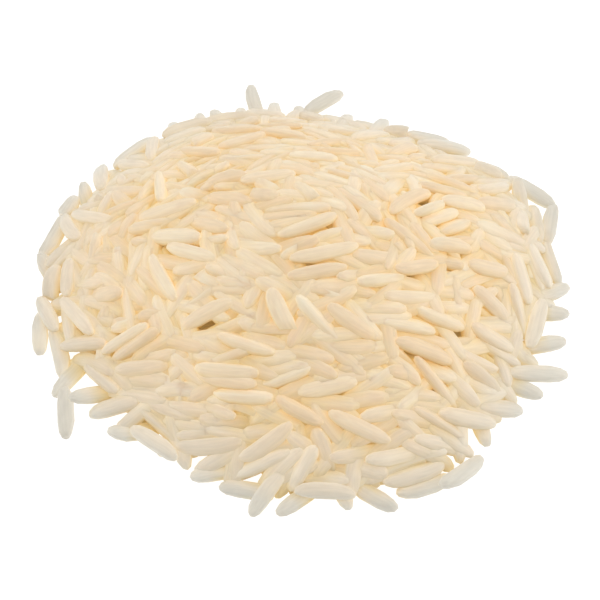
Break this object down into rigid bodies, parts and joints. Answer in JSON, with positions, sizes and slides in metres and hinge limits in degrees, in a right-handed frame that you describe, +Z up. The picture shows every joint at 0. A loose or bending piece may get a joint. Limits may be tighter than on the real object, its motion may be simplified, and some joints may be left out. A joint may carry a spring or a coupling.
{
  "type": "heap of uncooked long-grain white rice",
  "caption": "Low round heap of uncooked long-grain white rice, poured out on a flat base, with kernels lying loosely on top and round the rim.",
  "frame": {"origin": "middle of the heap's flat base, on the surface it lies on", "axes": "+Z up from the base to the summit, -Y to the front, from where the picture was taken, +X to the right of that view"},
  "size_m": [0.0722, 0.0703, 0.0161],
  "materials": {
    "rice_cream": "dry, slightly glossy and a little translucent"
  },
  "bodies": {
    "root": {"rice_heap": "rice_cream"}
  },
  "joints": []
}
